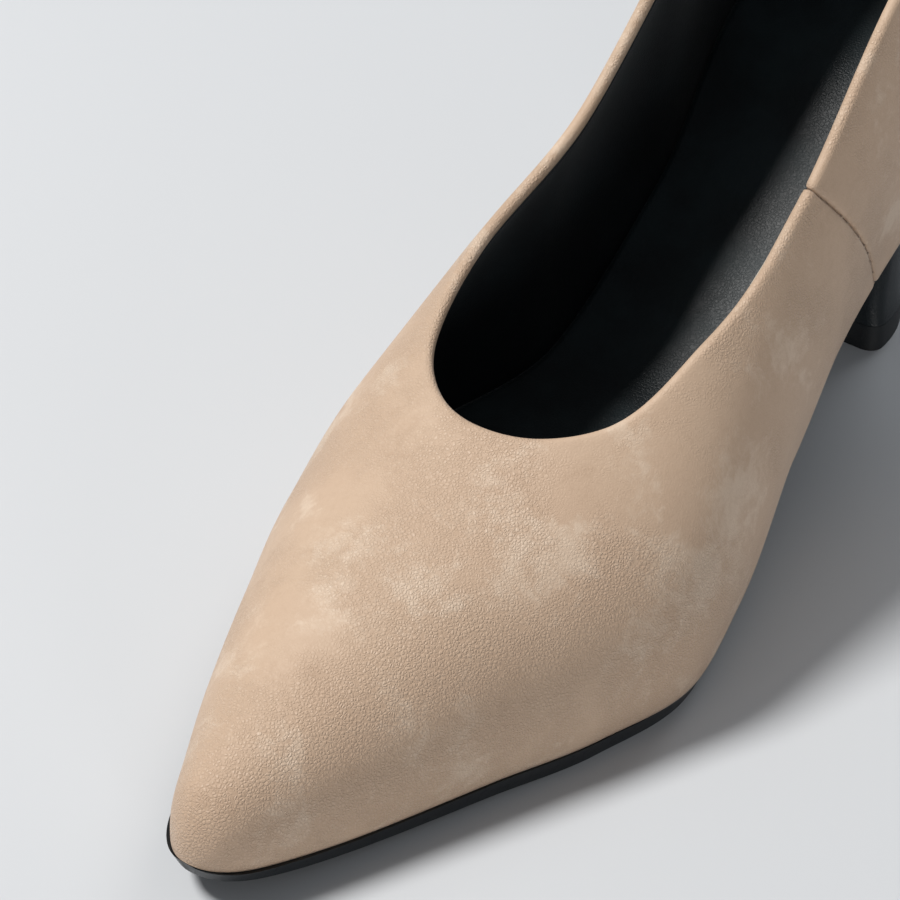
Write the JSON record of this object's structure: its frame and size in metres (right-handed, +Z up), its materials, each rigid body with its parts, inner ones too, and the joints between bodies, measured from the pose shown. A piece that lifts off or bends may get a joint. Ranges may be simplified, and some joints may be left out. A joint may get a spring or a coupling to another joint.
{
  "type": "high heel pump",
  "caption": "Pointed-toe leather pump for the left foot, with a slim block heel, dark lining and thin sole, built in layers on its insole board.",
  "frame": {"origin": "centre of the shoe's outline on the floor that it stands on", "axes": "+Z up from the floor, +Y from the toe to the back of the heel, +X to the wearer's outer side of this left shoe"},
  "size_m": [0.0764, 0.236, 0.1356],
  "materials": {
    "upper_leather": "soft pebbled nappa, satin",
    "lining_leather": "smooth dark lining leather",
    "stiffener": "impregnated felt and cotton",
    "board": "cellulose board",
    "foam": "soft latex foam",
    "sole": "dark resin rubber with a waxed edge",
    "heel_plastic": "moulded heel plastic",
    "heel_cover": "dark heel cover, satin",
    "top_piece": "hard polyurethane",
    "steel": "plain steel",
    "brass": "brass-plated steel"
  },
  "bodies": {
    "root": {"vamp": "upper_leather", "quarter_lateral": "upper_leather", "quarter_medial": "upper_leather", "toe_puff": "stiffener", "vamp_interlining": "stiffener", "seam_stay_lateral": "stiffener", "seam_stay_medial": "stiffener", "heel_counter": "board", "topline_tape": "stiffener", "vamp_lining": "lining_leather", "quarter_lining": "lining_leather", "insole_board": "board", "steel_shank": "steel", "shank_board": "board", "shank_rivets": "brass", "bottom_filler": "foam", "sock_pad": "foam", "sock_lining": "lining_leather", "outsole": "sole", "heel_core": "heel_plastic", "heel_wrap": "heel_cover", "heel_tube": "steel", "top_piece": "top_piece", "top_piece_pin": "steel", "heel_screw": "steel", "heel_nails": "steel"}
  },
  "joints": []
}
